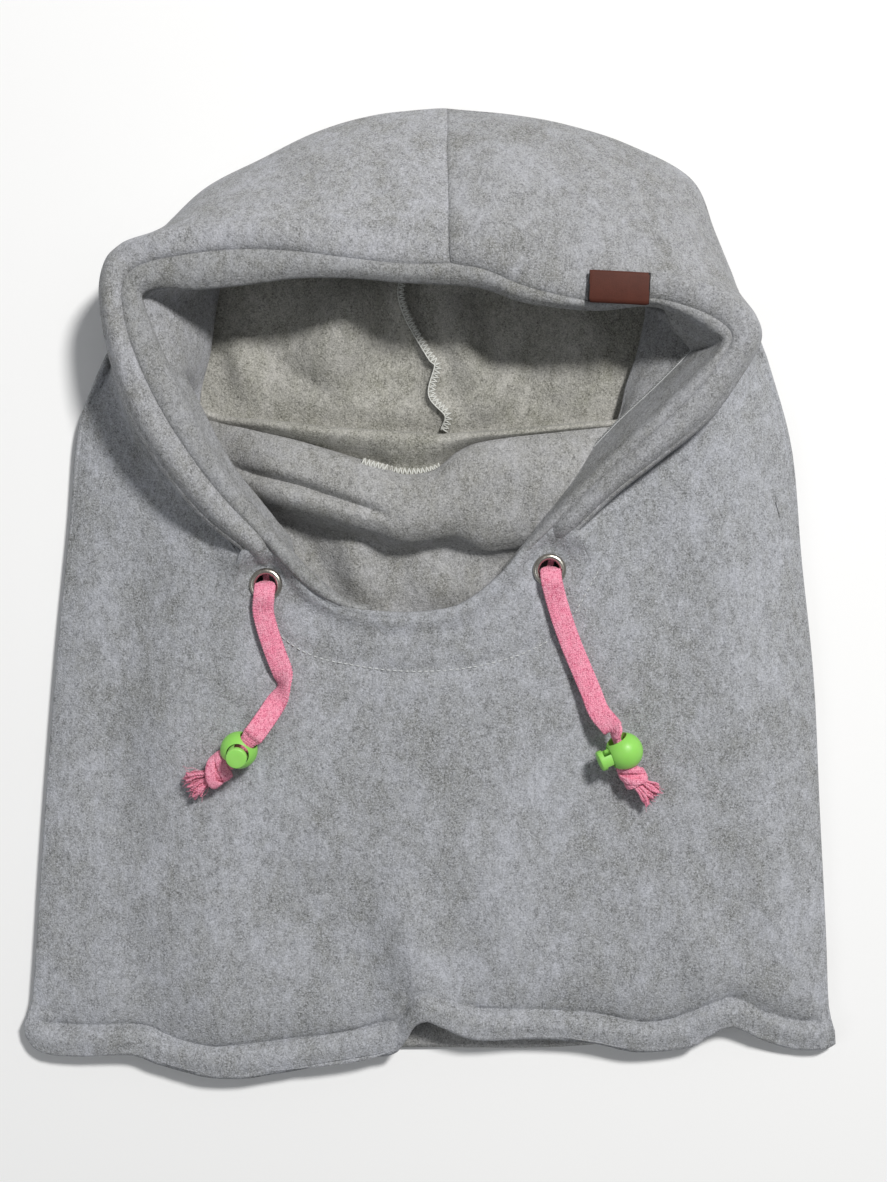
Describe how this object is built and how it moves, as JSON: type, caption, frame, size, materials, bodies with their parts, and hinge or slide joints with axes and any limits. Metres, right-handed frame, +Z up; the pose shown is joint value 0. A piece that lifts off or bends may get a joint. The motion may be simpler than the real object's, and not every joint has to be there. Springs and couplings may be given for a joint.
{
  "type": "hooded balaclava",
  "caption": "Fleece hood balaclava with a wide face opening, faced rim, drawcord through metal eyelets and push-button cord locks, lying flat on its back.",
  "frame": {"origin": "centre of the garment's outline, on the surface it lies on", "axes": "+X to the right seen from above with the crown away, +Y towards the crown, +Z up, out of the face opening"},
  "size_m": [0.4014, 0.4772, 0.0684],
  "materials": {
    "fleece": "heather grey brushed fleece",
    "facing_fleece": "heather grey brushed fleece",
    "thread": "polyester sewing thread",
    "drawcord": "flat braided cotton",
    "nickel": "nickel plated",
    "lock_plastic": "satin",
    "spring_steel": "bright wire",
    "label_leather": "smooth, black painted edges"
  },
  "bodies": {
    "garment": {"hood_left_panel": "fleece", "hood_right_panel": "fleece", "body_front_panel": "fleece", "body_back_panel": "fleece", "face_facing_left": "facing_fleece", "face_facing_right": "facing_fleece", "neckline_facing": "facing_fleece", "crown_seam_thread": "thread", "neck_seam_thread": "thread", "face_topstitch_thread": "thread", "hem_topstitch_thread": "thread", "drawcord_casing_run": "drawcord", "eyelet_left": "nickel", "eyelet_right": "nickel", "eyelet_washer_left": "nickel", "eyelet_washer_right": "nickel", "leather_label": "label_leather"},
    "drawcord_left": {"drawcord_left_tail": "drawcord", "drawcord_left_knot": "drawcord", "drawcord_left_frayed_end": "drawcord"},
    "cord_lock_left": {"cord_lock_left_body": "lock_plastic", "cord_lock_left_spring": "spring_steel"},
    "cord_lock_button_left": {"cord_lock_left_button": "lock_plastic"},
    "drawcord_right": {"drawcord_right_tail": "drawcord", "drawcord_right_knot": "drawcord", "drawcord_right_frayed_end": "drawcord"},
    "cord_lock_right": {"cord_lock_right_body": "lock_plastic", "cord_lock_right_spring": "spring_steel"},
    "cord_lock_button_right": {"cord_lock_right_button": "lock_plastic"}
  },
  "joints": [
    {"name": "drawcord_left_swing", "type": "hinge", "parent": "garment", "child": "drawcord_left", "pos_m": [-0.07946, 0.00253, 0.0321], "axis": [0, -0.0549, 0.9985], "range_deg": [-25, 25]},
    {"name": "cord_lock_left_slide", "type": "slide", "parent": "drawcord_left", "child": "cord_lock_left", "axis": [0.6651, 0.7246, 0.1807], "range_m": [0, 0.022], "deforming": ["drawcord_left_tail"]},
    {"name": "cord_lock_left_button_press", "type": "slide", "parent": "cord_lock_left", "child": "cord_lock_button_left", "axis": [0.0039, 0.2386, -0.9711], "range_m": [0, 0.004], "stiffness_N_per_m": 500, "springref_m": -0.003, "deforming": ["cord_lock_left_spring"]},
    {"name": "drawcord_right_swing", "type": "hinge", "parent": "garment", "child": "drawcord_right", "pos_m": [0.05754, 0.00953, 0.03248], "axis": [0, -0.0549, 0.9985], "range_deg": [-25, 25]},
    {"name": "cord_lock_right_slide", "type": "slide", "parent": "drawcord_right", "child": "cord_lock_right", "axis": [-0.3462, 0.9015, 0.2599], "range_m": [0, 0.04], "deforming": ["drawcord_right_tail"]},
    {"name": "cord_lock_right_button_press", "type": "slide", "parent": "cord_lock_right", "child": "cord_lock_button_right", "axis": [0.9177, 0.3829, -0.1058], "range_m": [0, 0.004], "stiffness_N_per_m": 500, "springref_m": -0.003, "deforming": ["cord_lock_right_spring"]}
  ]
}
